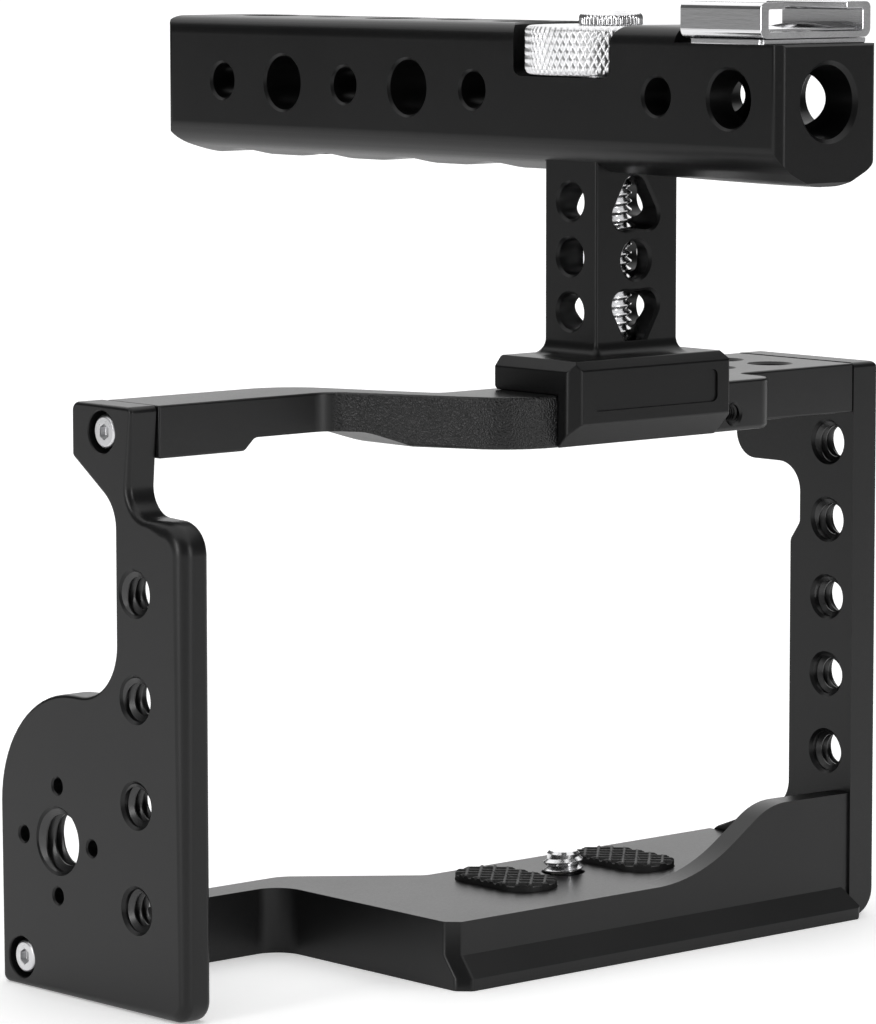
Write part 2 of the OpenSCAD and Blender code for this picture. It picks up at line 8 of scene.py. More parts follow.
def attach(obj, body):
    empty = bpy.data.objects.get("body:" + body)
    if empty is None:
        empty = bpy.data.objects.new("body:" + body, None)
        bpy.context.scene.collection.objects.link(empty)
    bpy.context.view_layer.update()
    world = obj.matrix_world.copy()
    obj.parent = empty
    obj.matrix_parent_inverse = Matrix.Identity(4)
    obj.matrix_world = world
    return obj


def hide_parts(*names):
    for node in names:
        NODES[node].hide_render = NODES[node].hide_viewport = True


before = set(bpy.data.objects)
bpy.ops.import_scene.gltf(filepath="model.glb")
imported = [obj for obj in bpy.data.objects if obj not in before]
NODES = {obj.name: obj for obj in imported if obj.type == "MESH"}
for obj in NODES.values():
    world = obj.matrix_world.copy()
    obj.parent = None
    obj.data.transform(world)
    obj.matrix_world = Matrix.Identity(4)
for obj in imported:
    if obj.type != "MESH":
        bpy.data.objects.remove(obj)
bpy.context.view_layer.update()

# ------------------------------------------------------------------ sizes, in mm, about the 3/8 inch hole
OFF = Vector((-67.15, 16.05, 23.0))
LEFT_T, XR, XE = 5.0, 129.2, 134.3
BASE_Z, BASE_TOP = -23.0, -12.9
BAR_Z, BAR_TOP = 57.6, 65.3
AX, AY = 73.4, -40.2
FOOT_Z, FOOT_TOP = 65.35, 70.4
HZ, HTOP = 97.6, 119.3
CROSS_Z = HZ + 11.6
POCKET_Z = HTOP - 7.8
WHEEL_Z = POCKET_Z + 0.3
H_FRONT, H_REAR = -85.2, 53.1
HX0 = AX + 0.05 - 10.15
HX1 = HX0 + 20.3
NOSE = 0.8
RECESS_Z = HTOP - 2.3
SHOE_Z = RECESS_Z + 0.8
FX0, FX1 = 57.8, 90.0
SHOE_Y0 = H_FRONT + 2.7
CAM_X, CAM_Y = 85.5, -17.2
PAD_Y, SCREW_UP = -17.7, 3.4
PITCH = 1.27


# ------------------------------------------------------------------ mesh helpers
def corner(a, b, c, q, step):
    ax, ay, bx, by, cx, cy = a[0], a[1], b[0], b[1], c[0], c[1]
    u, v = Vector((ax - bx, ay - by)).normalized(), Vector((cx - bx, cy - by)).normalized()
    s = 1 if (bx - ax) * (cy - by) - (by - ay) * (cx - bx) >= 0 else -1
    half = math.acos(max(-1, min(1, u.dot(v)))) / 2
    m = (u + v).normalized() if (u + v).length > 1e-9 else Vector((-u.y, u.x))
    r = q[2] if len(q) > 2 else 0
    e0, e1 = (q[3] if len(q) > 3 else 0), (q[4] if len(q) > 4 else 0)
    if r <= 0:
        k = math.sin(half)
        return [(bx, by, s * m.x / k, s * m.y / k, e0, e1)]
    o = Vector((bx, by)) + m * r / math.sin(half)
    p, e = Vector((bx, by)) + u * r / math.tan(half), Vector((bx, by)) + v * r / math.tan(half)
    a0 = math.atan2(p.y - o.y, p.x - o.x)
    d = math.atan2(e.y - o.y, e.x - o.x) - a0
    d = d - 2 * math.pi if d > math.pi else d + 2 * math.pi if d < -math.pi else d
    n = max(3, math.ceil(abs(d) / math.radians(step)))
    out = []
    for i in range(n + 1):
        w = (math.cos(a0 + d * i / n), math.sin(a0 + d * i / n))
        out.append((o.x + r * w[0], o.y + r * w[1], -s * w[0], -s * w[1], e0, e1))
    return out


def outline(c, step=6.0):
    n = len(c)
    return [p for i in range(n) for p in corner(c[i - 1], c[i], c[(i + 1) % n], c[i], step)]


def rings(levels):
    """levels: rings of the same number of points, from start to end."""
    p = len(levels[0])
    verts = [v for ring in levels for v in ring]
    faces = [list(range(p))[::-1], [(len(levels) - 1) * p + i for i in range(p)]]
    for k in range(len(levels) - 1):
        for i in range(p):
            j = (i + 1) % p
            faces.append([k * p + i, k * p + j, (k + 1) * p + j, (k + 1) * p + i])
    return verts, faces


def edged(c, h, n0=3, n1=3, step=6.0):
    """A prism whose start and end edges are rounded by each corner's own size."""
    o = outline(c, step)
    levels = []
    for k in range(n0 + 1):
        t = math.radians(90 * k / n0)
        levels.append([(q[0] + q[2] * q[4] * (1 - math.sin(t)), q[1] + q[3] * q[4] * (1 - math.sin(t)), abs(q[4]) * (1 - math.cos(t))) for q in o])
    for k in range(n1 + 1):
        t = math.radians(90 * k / n1)
        levels.append([(q[0] + q[2] * q[5] * (1 - math.cos(t)), q[1] + q[3] * q[5] * (1 - math.cos(t)), h - abs(q[5]) * (1 - math.sin(t))) for q in o])
    return rings(levels)


def slab(c, h, step=6.0):
    o = outline(c, step)
    return rings([[(q[0], q[1], 0.0) for q in o], [(q[0], q[1], h) for q in o]])


def stack(c, levels):
    o = outline(c)
    return rings([[(q[0] + q[2] * d, q[1] + q[3] * d, z) for q in o] for z, d in levels])


def along_x(x0, m):
    return [(x0 + w, u, v) for u, v, w in m[0]], m[1]


def along_y(y1, m):
    return [(u, y1 - w, v) for u, v, w in m[0]], m[1]


def along_z(z0, m):
    return [(u, v, z0 + w) for u, v, w in m[0]], m[1]


def shift(m, x, y, z):
    return [(a + x, b + y, c + z) for a, b, c in m[0]], m[1]


def turn(m, matrix):
    return [tuple(matrix @ Vector(v)) for v in m[0]], m[1]


TO_X = Matrix.Rotation(math.radians(90), 4, "Y")       # +Z becomes +X
TO_Y = Matrix.Rotation(math.radians(-90), 4, "X")      # +Z becomes +Y


def lathe(profile, n=64):
    """profile: (radius, height) from the bottom's middle to the top's middle, radius 0 at both ends."""
    verts, rows, faces = [], [], []
    for r, z in profile:
        if r <= 1e-9:
            rows.append([len(verts)] * n)
            verts.append((0.0, 0.0, z))
        else:
            rows.append(list(range(len(verts), len(verts) + n)))
            verts += [(r * math.cos(2 * math.pi * i / n), r * math.sin(2 * math.pi * i / n), z) for i in range(n)]
    for a, b in zip(rows, rows[1:]):
        for i in range(n):
            j = (i + 1) % n
            f = [a[i], a[j], b[j], b[i]]
            f = [x for k, x in enumerate(f) if x not in f[:k]]
            if len(f) > 2:
                faces.append(f)
    return verts, faces


def hole(r, h, c, n=64):
    """A cutter with a countersunk mouth at both ends of 0 to h."""
    return lathe([(0, -1), (r + c, -1), (r + c, 0), (r, c), (r, h - c), (r + c, h), (r + c, h + 1), (0, h + 1)], n)


def blind(r, z0, z1, c=0.0, n=64):
    """A cutter from z0, its floor, out past its mouth at z1."""
    if c:
        return lathe([(0, z0), (r, z0), (r, z1 - c), (r + c, z1), (r + c, z1 + 1), (0, z1 + 1)], n)
    return lathe([(0, z0), (r, z0), (r, z1 + 1), (0, z1 + 1)], n)


def block(x0, y0, z0, x1, y1, z1):
    return slab([(x0, y0), (x1, y0), (x1, y1), (x0, y1)], z1 - z0)[0] and along_z(z0, slab([(x0, y0), (x1, y0), (x1, y1), (x0, y1)], z1 - z0))


def make(name, m):
    me = bpy.data.meshes.new(name)
    me.from_pydata([tuple(v) for v in m[0]], [], m[1])
    bm = bmesh.new()
    bm.from_mesh(me)
    bmesh.ops.recalc_face_normals(bm, faces=bm.faces)
    bm.to_mesh(me)
    bm.free()
    o = bpy.data.objects.new(name, me)
    bpy.context.scene.collection.objects.link(o)
    return o


def join(*ms):
    verts, faces = [], []
    for v, f in ms:
        base = len(verts)
        verts += list(v)
        faces += [[i + base for i in face] for face in f]
    return verts, faces


def volume(me):
    bm = bmesh.new()
    bm.from_mesh(me)
    v = bm.calc_volume(signed=True)
    bm.free()
    return v


def combine(a, m, op):
    """Applies one boolean step to object a, with the solver whose result has a sound volume."""
    b = make("cutter", m)
    before, other = volume(a.data), volume(b.data)
    best = None
    for solver in ("MANIFOLD", "EXACT"):
        mod = a.modifiers.new("b", "BOOLEAN")
        mod.operation, mod.object, mod.solver = op, b, solver
        bpy.context.view_layer.update()
        dg = bpy.context.evaluated_depsgraph_get()
        me = bpy.data.meshes.new_from_object(a.evaluated_get(dg))
        a.modifiers.remove(mod)
        v = volume(me) if len(me.polygons) > 5 else 0.0
        sound = {"DIFFERENCE": before - other - 1e-3 <= v < before - 1e-4, "UNION": before < v <= before + other + 1e-3,
                 "INTERSECT": 0 < v <= min(before, other) + 1e-3}[op]
        if sound:
            best = me
            break
        print("boolean", a.name, op, solver, "volume", round(before, 3), round(other, 3), round(v, 3))
    if best is None:
        raise RuntimeError("no solver made a sound boolean on %s" % a.name)
    old = a.data
    a.data = best
    bpy.data.meshes.remove(old)
    bpy.data.objects.remove(b)
    return a


def cut(a, *ms):
    for m in ms:
        combine(a, m, "DIFFERENCE")
    return a


def soften(o, width, segments=2, angle=25, pick=None):
    """Rounds the picked edges of o. pick gets the edge's middle, its unit direction and its length, in mm."""
    bm = bmesh.new()
    bm.from_mesh(o.data)
    bmesh.ops.remove_doubles(bm, verts=bm.verts, dist=1e-4)
    bmesh.ops.dissolve_limit(bm, angle_limit=math.radians(0.4), verts=bm.verts, edges=bm.edges)
    chosen = []
    for e in bm.edges:
        if len(e.link_faces) != 2 or math.degrees(e.calc_face_angle(0)) < angle:
            continue
        a, b = e.verts[0].co, e.verts[1].co
        if pick is None or pick((a + b) / 2, (b - a).normalized(), (b - a).length):
            chosen.append(e)
    if chosen:
        bmesh.ops.bevel(bm, geom=chosen, offset=width, offset_type="OFFSET", segments=segments, profile=0.5, affect="EDGES", clamp_overlap=True)
    bm.to_mesh(o.data)
    bm.free()
    return o


def shade(o, angle=33):
    me = o.data
    me.shade_smooth()
    me.set_sharp_from_angle(angle=math.radians(angle))
    w = o.modifiers.new("normals", "WEIGHTED_NORMAL")
    w.keep_sharp = True
    w.weight = 60


def place(o):
    """From mm about the 3/8 inch hole to the row frame."""
    o.data.transform(Matrix.Diagonal((0.001, 0.001, 0.001, 1)) @ Matrix.Translation(OFF))
    return o


def finish(o, body, mat, node=None, angle=33, tidy=True):
    if tidy:
        bm = bmesh.new()
        bm.from_mesh(o.data)
        bmesh.ops.remove_doubles(bm, verts=bm.verts, dist=2e-5)
        bm.to_mesh(o.data)
        bm.free()
    place(o)
    shade(o, angle)
    o.data.materials.clear()
    o.data.materials.append(mat)
    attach(o, body)
    for n in ([node] if isinstance(node, str) else node or []):
        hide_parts(n)
    return o


def helix(r_wall, r_crest, z0, z1, pitch=PITCH, per=40, phase=0.0):
    """A thread ridge between two heights, with tapered ends, about the Z axis. Its foot is at r_wall."""
    n = int(per * (z1 - z0) / pitch)
    verts, faces = [], []
    for k in range(n + 1):
        t = 2 * math.pi * k / per + phase
        z = z0 + (z1 - z0) * k / n
        s = min(1.0, k / (0.22 * per), (n - k) / (0.22 * per))
        s = max(0.03, s)
        w = 0.485 * pitch * (0.3 + 0.7 * s)
        r1 = r_wall + (r_crest - r_wall) * s
        flat = 0.075 * pitch
        for r, dz in ((r_wall, -w), (r1, -flat), (r1, flat), (r_wall, w)):
            verts.append((r * math.cos(t), r * math.sin(t), z + dz))
    for k in range(n):
        for i in range(4):
            j = (i + 1) % 4
            faces.append([4 * k + i, 4 * k + j, 4 * k + 4 + j, 4 * k + 4 + i])
    faces += [[0, 1, 2, 3], [4 * n + 3, 4 * n + 2, 4 * n + 1, 4 * n]]
    return verts, faces


# ------------------------------------------------------------------ materials
def new_mat(name):
    m = bpy.data.materials.new(name)
    m.use_nodes = True
    nt = m.node_tree
    return m, nt, nt.nodes["Principled BSDF"]


def tex(nt, kind, scale, detail=2.0, coords=None, **more):
    n = nt.nodes.new(kind)
    n.inputs["Scale"].default_value = scale
    if "Detail" in n.inputs:
        n.inputs["Detail"].default_value = detail
    for k, v in more.items():
        if k in n.inputs:
            n.inputs[k].default_value = v
    nt.links.new(coords, n.inputs["Vector"])
    return n


def ramp(nt, source, a, b, lo=0.3, hi=0.7):
    """Maps a texture value to the range a to b."""
    r = nt.nodes.new("ShaderNodeMapRange")
    r.inputs["From Min"].default_value, r.inputs["From Max"].default_value = lo, hi
    r.inputs["To Min"].default_value, r.inputs["To Max"].default_value = a, b
    nt.links.new(source, r.inputs["Value"])
    return r.outputs["Result"]


def colour(nt, source, c0, c1, lo=0.3, hi=0.7):
    r = nt.nodes.new("ShaderNodeValToRGB")
    r.color_ramp.elements[0].position, r.color_ramp.elements[1].position = lo, hi
    r.color_ramp.elements[0].color, r.color_ramp.elements[1].color = (*c0, 1), (*c1, 1)
    nt.links.new(source, r.inputs["Fac"])
    return r.outputs["Color"]


def bump(nt, height, distance, strength=1.0, normal=None):
    b = nt.nodes.new("ShaderNodeBump")
    b.inputs["Strength"].default_value, b.inputs["Distance"].default_value = strength, distance
    nt.links.new(height, b.inputs["Height"])
    if normal is not None:
        nt.links.new(normal, b.inputs["Normal"])
    return b.outputs["Normal"]


def math_node(nt, op, a, b=None, clamp=False):
    m = nt.nodes.new("ShaderNodeMath")
    m.operation, m.use_clamp = op, clamp
    for i, x in enumerate((a, b)):
        if x is None:
            continue
        if isinstance(x, (int, float)):
            m.inputs[i].default_value = x
        else:
            nt.links.new(x, m.inputs[i])
    return m.outputs[0]


def anodised(name, grain=False, painted_light_scale=1.0, ior=1.38):
    """Satin black anodised aluminium: blasted grain, faint streaks and slightly rubbed edges."""
    m, nt, p = new_mat(name)
    tc = nt.nodes.new("ShaderNodeTexCoord")
    at = tc.outputs["Object"]
    fine = tex(nt, "ShaderNodeTexNoise", 5200, 3, at)
    mid = tex(nt, "ShaderNodeTexNoise", 1900, 3, at)
    big = tex(nt, "ShaderNodeTexNoise", 45, 3, at)
    geo = nt.nodes.new("ShaderNodeNewGeometry")
    worn = ramp(nt, geo.outputs["Pointiness"], 0.0, 1.0, 0.53, 0.62)
    rub = math_node(nt, "MULTIPLY", worn, ramp(nt, mid.outputs["Fac"], 0.0, 1.0, 0.45, 0.65), True)
    # painted_light_scale scales the base colour: below 1 it paints shade, above 1 it paints highlight, for lit and
    # shaded copies of this one anodised finish.
    base = colour(nt, big.outputs["Fac"], (0.0035 * painted_light_scale, 0.0035 * painted_light_scale, 0.0037 * painted_light_scale), (0.006 * painted_light_scale, 0.006 * painted_light_scale, 0.0062 * painted_light_scale))
    mix = nt.nodes.new("ShaderNodeMix")
    mix.data_type = "RGBA"
    nt.links.new(math_node(nt, "MULTIPLY", rub, 0.05), mix.inputs["Factor"])
    nt.links.new(base, mix.inputs[6])
    mix.inputs[7].default_value = (0.05, 0.05, 0.052, 1)
    nt.links.new(mix.outputs[2], p.inputs["Base Color"])
    rough = ramp(nt, mid.outputs["Fac"], 0.315, 0.345)
    rough = math_node(nt, "ADD", rough, ramp(nt, big.outputs["Fac"], -0.01, 0.015))
    nt.links.new(rough, p.inputs["Roughness"])
    p.inputs["IOR"].default_value = ior
    n = bump(nt, fine.outputs["Fac"], 0.000012, 0.6)
    n = bump(nt, mid.outputs["Fac"], 0.000005, 0.2, n)
    if grain:
        sep = nt.nodes.new("ShaderNodeSeparateXYZ")
        nt.links.new(at, sep.inputs[0])
        nrm = nt.nodes.new("ShaderNodeSeparateXYZ")
        nt.links.new(tc.outputs["Normal"], nrm.inputs[0])
        x = sep.outputs["X"]
        zone = math_node(nt, "MULTIPLY", ramp(nt, x, 0.0, 1.0, -0.0305, -0.0300), ramp(nt, x, 1.0, 0.0, 0.0150, 0.0155))
        front = ramp(nt, nrm.outputs["Y"], 1.0, 0.0, -0.45, -0.25)
        zone = math_node(nt, "MULTIPLY", zone, front)
        warp = tex(nt, "ShaderNodeTexNoise", 2600, 2, at)
        cells = tex(nt, "ShaderNodeTexVoronoi", 3500, 0, at)
        h = math_node(nt, "MULTIPLY", math_node(nt, "ADD", cells.outputs["Distance"], math_node(nt, "MULTIPLY", warp.outputs["Fac"], 0.6)), zone)
        n = bump(nt, h, 0.00009, 1.0, n)
    nt.links.new(n, p.inputs["Normal"])
    return m


def metal(name, c0, c1, r0, r1, scale=400, bump_d=0.000006, stretch=None):
    m, nt, p = new_mat(name)
    tc = nt.nodes.new("ShaderNodeTexCoord")
    at = tc.outputs["Object"]
    if stretch:
        mp = nt.nodes.new("ShaderNodeMapping")
        mp.inputs["Scale"].default_value = stretch
        nt.links.new(at, mp.inputs["Vector"])
        at = mp.outputs["Vector"]
    a, b = tex(nt, "ShaderNodeTexNoise", scale, 5, at), tex(nt, "ShaderNodeTexNoise", scale * 9, 2, at)
    nt.links.new(colour(nt, a.outputs["Fac"], c0, c1), p.inputs["Base Color"])
    nt.links.new(ramp(nt, a.outputs["Fac"], r0, r1), p.inputs["Roughness"])
    p.inputs["Metallic"].default_value = 1.0
    nt.links.new(bump(nt, b.outputs["Fac"], bump_d, 0.5), p.inputs["Normal"])
    return m


def rubber(name):
    m, nt, p = new_mat(name)
    tc = nt.nodes.new("ShaderNodeTexCoord")
    a = tex(nt, "ShaderNodeTexNoise", 2500, 4, tc.outputs["Object"])
    b = tex(nt, "ShaderNodeTexNoise", 160, 3, tc.outputs["Object"])
    nt.links.new(colour(nt, b.outputs["Fac"], (0.008, 0.008, 0.008), (0.016, 0.016, 0.016)), p.inputs["Base Color"])
    nt.links.new(ramp(nt, a.outputs["Fac"], 0.5, 0.68), p.inputs["Roughness"])
    nt.links.new(bump(nt, a.outputs["Fac"], 0.00003, 0.6), p.inputs["Normal"])
    return m


def nylon(name):
    m, nt, p = new_mat(name)
    tc = nt.nodes.new("ShaderNodeTexCoord")
    a = tex(nt, "ShaderNodeTexNoise", 700, 4, tc.outputs["Object"])
    nt.links.new(colour(nt, a.outputs["Fac"], (0.62, 0.6, 0.54), (0.74, 0.72, 0.66)), p.inputs["Base Color"])
    nt.links.new(ramp(nt, a.outputs["Fac"], 0.4, 0.55), p.inputs["Roughness"])
    nt.links.new(bump(nt, a.outputs["Fac"], 0.00002, 0.4), p.inputs["Normal"])
    return m


ANOD = anodised("black_anodised")
ANOD_BAR = anodised("black_anodised_grained", grain=True, ior=1.42)
# Painted shade: a darker, less reflective copy of black anodised for the handle and stem. It stands in for the weaker
# light that reaches them under the handle, not for a different finish.
ANOD_PAINTED_SHADE = anodised("black_anodised_painted_shade", painted_light_scale=0.6, ior=1.34)
# Painted highlight: a lighter, more reflective copy of black anodised for the plate threads, so that their ridges show
# glints. The threads have the same black anodised finish as the plates.
ANOD_PAINTED_GLINT = anodised("black_anodised_threads_painted_highlight", painted_light_scale=1.5, ior=1.6)
NICKEL = metal("bright_nickel", (0.68, 0.68, 0.69), (0.8, 0.8, 0.81), 0.14, 0.24)
PEARL = metal("pearl_nickel", (0.74, 0.74, 0.75), (0.84, 0.84, 0.85), 0.3, 0.42, scale=700)
SHEET = metal("shoe_sheet", (0.66, 0.66, 0.67), (0.82, 0.82, 0.83), 0.1, 0.2, scale=260, stretch=(1, 0.15, 1))
ZINC = metal("zinc_steel", (0.55, 0.55, 0.56), (0.7, 0.7, 0.71), 0.24, 0.36, scale=500)
RUBBER = rubber("pad_rubber")
NYLON = nylon("natural_nylon")

# ------------------------------------------------------------------ left side plate
left = make("left_plate", along_x(0, edged([
    (-29.8, BASE_Z, 3.2, 1.6, 1.0), (13.9, BASE_Z, 1.2, 0.8, 0.4),
    (13.9, 22.05, 17.8, 0.5, 0.4), (-14.25, 22.1, 8.5, 0.5, 0.4),
    (-14.25, 50.6, 6, 0.5, 0.4), (-4.3, 57.4, 0.9, 0.5, 0.4),
    (-4.3, BAR_TOP, 1.4, 0.5, 0.4), (-18.25, BAR_TOP, 0.9, 0.6, 0.4),
    (-17, 49.4, 4.2, 1.1, 0.4), (-29.8, 49.4, 4.8, 2.3, 1.0)], LEFT_T, 6, 4, 5.0)))
LEFT_HOLES = [38.5 - 15.4 * i for i in range(4)]
LEFT_SCREWS = [(-11.3, 61.3), (9.05, -18.7)]
cutters = [shift(turn(hole(4.7625, LEFT_T, 0.4, 72), TO_X), 0, 0, 0)]
for a in range(4):
    cutters.append(shift(turn(hole(1.2, LEFT_T, 0.25, 32), TO_X), 0, 8.2 * math.cos(a * math.pi / 2), 8.2 * math.sin(a * math.pi / 2)))
for z in LEFT_HOLES:
    cutters.append(shift(turn(hole(3.175, LEFT_T, 0.45), TO_X), 0, -18.7, z))
cut(left, join(*cutters))
for y, z in LEFT_SCREWS:
    cut(left, shift(turn(lathe([(0, -1), (3.25, -1), (3.25, 0), (3.1, 0.15), (3.1, 2.5), (1.7, 2.5), (1.7, 6), (0, 6)]), TO_X), 0, y, z))
finish(left, "cage", ANOD, "left_side_plate")
ridges = [shift(turn(helix(4.7925, 4.7625 - 0.9, 0.55, LEFT_T - 0.55, 1.5875, 48), TO_X), 0, 0, 0)]
ridges += [shift(turn(helix(3.205, 3.175 - 0.72, 0.55, LEFT_T - 0.55, phase=k), TO_X), 0, -18.7, z) for k, z in enumerate(LEFT_HOLES)]
# The left plate's thread ridges take the copy of black anodised with painted highlight.
finish(make("left_plate_threads", join(*ridges)), "cage", ANOD_PAINTED_GLINT, angle=20, tidy=False)

# ------------------------------------------------------------------ right side plate
right = make("right_plate", along_x(XR, slab([
    (-36.9, BASE_Z - 1, 0), (-5.5, BASE_Z - 1, 0), (-5.5, -12.9, 3), (-23.25, -6, 5),
    (-23.25, 36.3, 1.5), (-25.3, 39.2, 1.5), (-25.3, 48.7, 4.6), (-11, 48.65, 4.2),
    (-11, BAR_TOP + 0.1, 0.9), (-36.9, BAR_TOP + 0.1, 0.9)], XE - XR + 1)))
combine(right, along_y(0, slab([(XR - 1, BASE_Z, 0), (XE, BASE_Z + 0.2, 4.2), (XE, BAR_TOP + 0.1, 1), (XR - 1, BAR_TOP + 0.3, 0)], 40)), "INTERSECT")
soften(right, 0.35, 3, pick=lambda c, d, l: l > 0.12 and not (c.x < XR + 0.01 and (c.z > 57 or c.z < -12.5)))
RIGHT_HOLES = [52.5 - 12.35 * i for i in range(5)]
RIGHT_SCREWS = [(-32.6, 61.4), (-15.3, 61.4), (-30, -15.9), (-11.5, -15.9)]
cut(right, join(*[shift(turn(hole(3.175, XE - XR, 0.45), TO_X), XR, -31.3, z) for z in RIGHT_HOLES]))
for y, z in RIGHT_SCREWS:
    cut(right, shift(turn(lathe([(0, -1), (1.7, -1), (1.7, 2.5), (3.1, 2.5), (3.1, 4.95), (3.25, 5.1), (3.25, 6), (0, 6)]), TO_X), XR, y, z))
finish(right, "cage", ANOD, "right_side_plate")
ridges = [shift(turn(helix(3.205, 3.175 - 0.68, 0.75, XE - XR - 0.75, phase=k * 0.7), TO_X), XR, -31.3, z) for k, z in enumerate(RIGHT_HOLES)]
# The right plate's thread ridges take the copy of black anodised with painted highlight.
finish(make("right_plate_threads", join(*ridges)), "cage", ANOD_PAINTED_GLINT, angle=20, tidy=False)

# ------------------------------------------------------------------ top bar
bar = make("bar", along_z(BAR_Z, edged([
    (LEFT_T, -18.5, 0.3, 0.3, 0.3), (37, -18.5, 4.9, 0.45, 0.45), (50.5, -45.5, 12, 0.45, 0.45),
    (XR - 25.9, -45.5, 3.3, 0.7, 0.45), (XR - 25.9, -36.8, 2.3, 0.5, 0.45), (XR, -36.8, 0.3, 0.3, 0.3),
    (XR, -11.2, 0.3, 0.3, 0.3), (XR - 23, -11.2, 3, 0.45, 0.45), (XR - 25.4, -30.3, 3, 0.45, 0.45),
    (48.15, -30.3, 2.5, 0.45, 0.45), (38.1, -6.2, 10.5, 0.45, 0.45), (LEFT_T, -6.2, 0.3, 0.3, 0.3)], BAR_TOP - BAR_Z, 3, 3, 5.0)))
cut(bar, along_y(0, slab([(19, BAR_Z - 1, 0), (45.2, BAR_Z - 1, 0), (45.2, BAR_Z - 0.05, 0), (43.2, BAR_Z - 0.05, 2),
                          (39.7, BAR_Z + 1.9, 2.5), (22.7, BAR_Z + 1.9, 1.5), (20.6, BAR_Z - 0.05, 1), (19, BAR_Z - 0.05, 0)], 50)))
TOP_HOLES = [(119.3, -28.2), (118.5, -18.2), (107.5, -27.5)]
cut(bar, join(shift(hole(3.225, 7.7, 0.4), AX, AY, BAR_Z), *[shift(hole(3.175, 7.7, 0.4), x, y, BAR_Z) for x, y in TOP_HOLES]))
cut(bar, shift(turn(lathe([(0, -1), (1.86, -1), (1.86, 0), (1.5, 0.36), (1.5, 6), (0, 6)], 48), TO_Y), XR - 35.0, -45.5, BAR_Z + 2.6))
finish(bar, "cage", ANOD_BAR, "top_bar")
ridges = [shift(helix(3.205, 3.175 - 0.68, BAR_Z + 0.8, BAR_TOP - 0.7, phase=k), x, y, 0) for k, (x, y) in enumerate(TOP_HOLES)]
ridges.append(shift(turn(helix(1.52, 1.5 - 0.28, 0.6, 5.6, 0.5, 24), TO_Y), XR - 35.0, -45.5, BAR_Z + 2.6))
finish(make("bar_threads", join(*ridges)), "cage", ANOD, angle=20, tidy=False)

# ------------------------------------------------------------------ bottom plate
LIP, PF = -39.0, -36.5
base = make("base_plate", along_z(BASE_Z, slab([
    (LEFT_T, 3.3, 0.3), (45.2, 3.3, 4.6), (45.2, LIP + 1.9, 1.1), (47.1, LIP, 1.1), (XR + 0.6, LIP, 0.8),
    (XR + 0.6, -5.3, 0), (67.5, -5.3, 3), (50, 9, 5), (20, 9, 5), (14.5, 13.4, 3), (LEFT_T, 13.4, 0.3)], BASE_TOP - BASE_Z)))
combine(base, along_y(-32.7, slab([(84, BASE_TOP - 2, 0), (XR + 1, BASE_TOP - 2, 0), (XR + 1, -3.1, 0), (111.7, -2.8, 11.8),
                                   (96, BASE_TOP - 0.02, 30), (84, BASE_TOP - 0.02, 0)], 5, 3.0)), "UNION")
cut(base, along_x(40, slab([(-50, BASE_Z + 1.8, 0), (LIP, BASE_Z + 1.8, 0), (PF, BASE_Z + 5, 0), (PF, 5, 0), (-50, 5, 0)], 100)))
cut(base, block(XR, -36.98, BASE_Z - 1, XR + 5, 4, 20))
cut(base, along_y(-36.48, slab([(XR - 1.5, BASE_Z + 5.02, 0), (XR + 0.6, BASE_Z + 1.8, 0), (XR + 0.6, BASE_Z + 0.8, 0.5), (XR - 0.2, BASE_Z - 0.05, 0),
                              (XR + 5, BASE_Z - 0.05, 0), (XR + 5, BASE_Z + 5.02, 0)], 10)))
cut(base, rings([[(q[0], q[1], z) for q in outline([(45.19, y + 6, 0), (45.19, y + 1.9, 1.1), (47.09, y - 0.01, 1.1), (52, y - 0.01, 0), (52, y - 3, 0), (42, y - 3, 0), (42, y + 6, 0)])]
                for z, y in ((BASE_Z + 1.8, LIP), (BASE_Z + 5, PF), (BASE_TOP + 1, PF))]))
pad_c = lambda x, g, z0, h: along_z(z0, shift(slab([(-5 - g, -9 - g, 4.6 + g), (5 + g, -9 - g, 4.6 + g), (5 + g, 9 + g, 4.6 + g), (-5 - g, 9 + g, 4.6 + g)], h, 4.0), x, PAD_Y, 0))
cut(base, join(pad_c(73, 0.1, BASE_TOP - 0.5, 3), pad_c(98, 0.1, BASE_TOP - 0.5, 3)))
cut(base, shift(lathe([(0, BASE_Z - 1), (8.2, BASE_Z - 1), (8.2, BASE_Z), (7.8, BASE_Z + 0.25), (8.5, BASE_Z + 0.25), (8.5, BASE_Z + 1.1), (7.8, BASE_Z + 1.1),
                       (7.8, -15.95), (3.325, -15.95), (3.325, BASE_TOP - 0.1), (3.425, BASE_TOP), (3.425, BASE_TOP + 1), (0, BASE_TOP + 1)], 72), CAM_X, CAM_Y, 0))
finish(base, "cage", ANOD, "bottom_plate")


